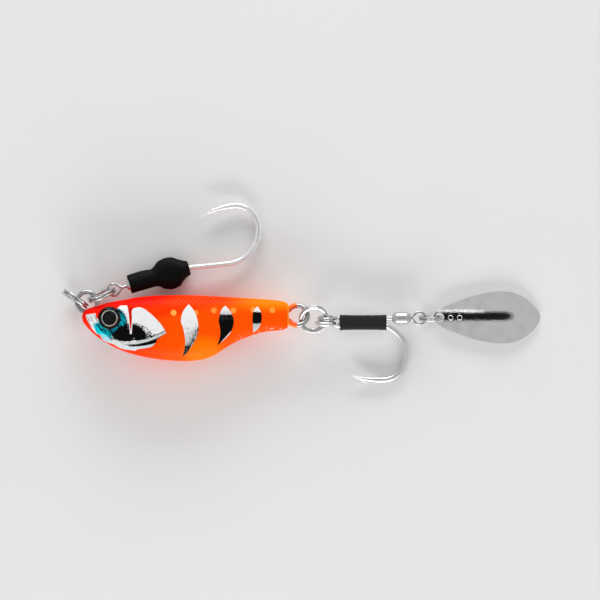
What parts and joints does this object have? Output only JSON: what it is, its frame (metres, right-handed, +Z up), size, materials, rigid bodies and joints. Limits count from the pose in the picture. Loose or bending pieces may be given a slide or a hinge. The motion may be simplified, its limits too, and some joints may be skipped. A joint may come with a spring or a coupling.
{
  "type": "spin-tail metal jig",
  "caption": "Cast fish-shaped jig on a through-wire, with an assist hook at the nose and a tail hook carrying a swivelled spinner blade.",
  "frame": {"origin": "middle of the lure's footprint, on the surface that it lies on", "axes": "+X from the nose to the spinner blade, +Y from the belly to the back, +Z up out of the left flank; the lure lies on its right flank"},
  "size_m": [0.112, 0.0424, 0.009],
  "materials": {
    "orange_paint": "gloss lacquer over cast alloy",
    "stainless_wire": "bright drawn wire",
    "tinned_hook": "tin and nickel plate",
    "black_rubber": "matt shrink tube",
    "printed_iris": "printed foil",
    "clear_resin": "clear gloss",
    "nickel_blade": "bright nickel plate"
  },
  "bodies": {
    "jig": {"jig_body": "orange_paint", "through_wire": "stainless_wire", "left_eye_disc": "printed_iris", "left_eye_dome": "clear_resin", "right_eye_disc": "printed_iris", "right_eye_dome": "clear_resin"},
    "line_ring": {"line_split_ring": "stainless_wire"},
    "assist_ring": {"assist_split_ring": "stainless_wire"},
    "assist_eye": {"assist_swivel_eye": "stainless_wire"},
    "assist_hook": {"assist_swivel_barrel": "stainless_wire", "assist_rear_eye": "stainless_wire", "assist_hook_ring": "stainless_wire", "assist_hook": "tinned_hook", "assist_tube": "black_rubber"},
    "tail_ring": {"tail_split_ring": "stainless_wire"},
    "tail_hook": {"tail_hook": "tinned_hook", "tail_sleeve": "black_rubber", "spin_rod": "stainless_wire"},
    "blade_barrel": {"blade_swivel_barrel": "stainless_wire"},
    "blade_eye": {"blade_swivel_eye": "stainless_wire"},
    "blade_ring": {"blade_split_ring": "stainless_wire"},
    "blade": {"spinner_blade": "nickel_blade"}
  },
  "joints": [
    {"name": "line_ring_swing", "type": "hinge", "parent": "jig", "child": "line_ring", "pos_m": [-0.05001, -0.00208, 0.0045], "axis": [0, 0, 1], "range_deg": [-60, 8]},
    {"name": "assist_ring_swing", "type": "hinge", "parent": "jig", "child": "assist_ring", "pos_m": [-0.05001, -0.00208, 0.0045], "axis": [0, 0, 1], "range_deg": [0, 60]},
    {"name": "assist_eye_swing", "type": "hinge", "parent": "assist_ring", "child": "assist_eye", "pos_m": [-0.04378, 0.00076, 0.004], "axis": [0.0521, -0.129, 0.9903], "range_deg": [0, 60]},
    {"name": "assist_hook_spin", "type": "hinge", "parent": "assist_eye", "child": "assist_hook", "pos_m": [-0.04378, 0.00076, 0.004], "axis": [0.9573, 0.2781, -0.0785], "range_deg": [-120, 120]},
    {"name": "tail_ring_swing", "type": "hinge", "parent": "jig", "child": "tail_ring", "pos_m": [-0.00094, -0.00518, 0.0045], "axis": [0, 0.2924, 0.9563], "range_deg": [-45, 45]},
    {"name": "tail_hook_swing", "type": "hinge", "parent": "tail_ring", "child": "tail_hook", "pos_m": [0.0029, -0.00608, 0.00445], "axis": [0.077, -0.4695, 0.8796], "range_deg": [-60, 60]},
    {"name": "blade_barrel_spin", "type": "hinge", "parent": "tail_hook", "child": "blade_barrel", "pos_m": [0.02125, -0.00586, 0.00291], "axis": [0.9969, 0, -0.0785], "continuous": true},
    {"name": "blade_eye_spin", "type": "hinge", "parent": "blade_barrel", "child": "blade_eye", "pos_m": [0.02763, -0.00586, 0.00241], "axis": [0.9969, 0, -0.0785], "continuous": true},
    {"name": "blade_ring_swing", "type": "hinge", "parent": "blade_eye", "child": "blade_ring", "pos_m": [0.02763, -0.00586, 0.00241], "axis": [0.0785, 0, 0.9969], "range_deg": [-60, 60]},
    {"name": "blade_flap", "type": "hinge", "parent": "blade_ring", "child": "blade", "pos_m": [0.03031, -0.00586, 0.00299], "axis": [0, 1, 0], "range_deg": [-90, 45]}
  ]
}
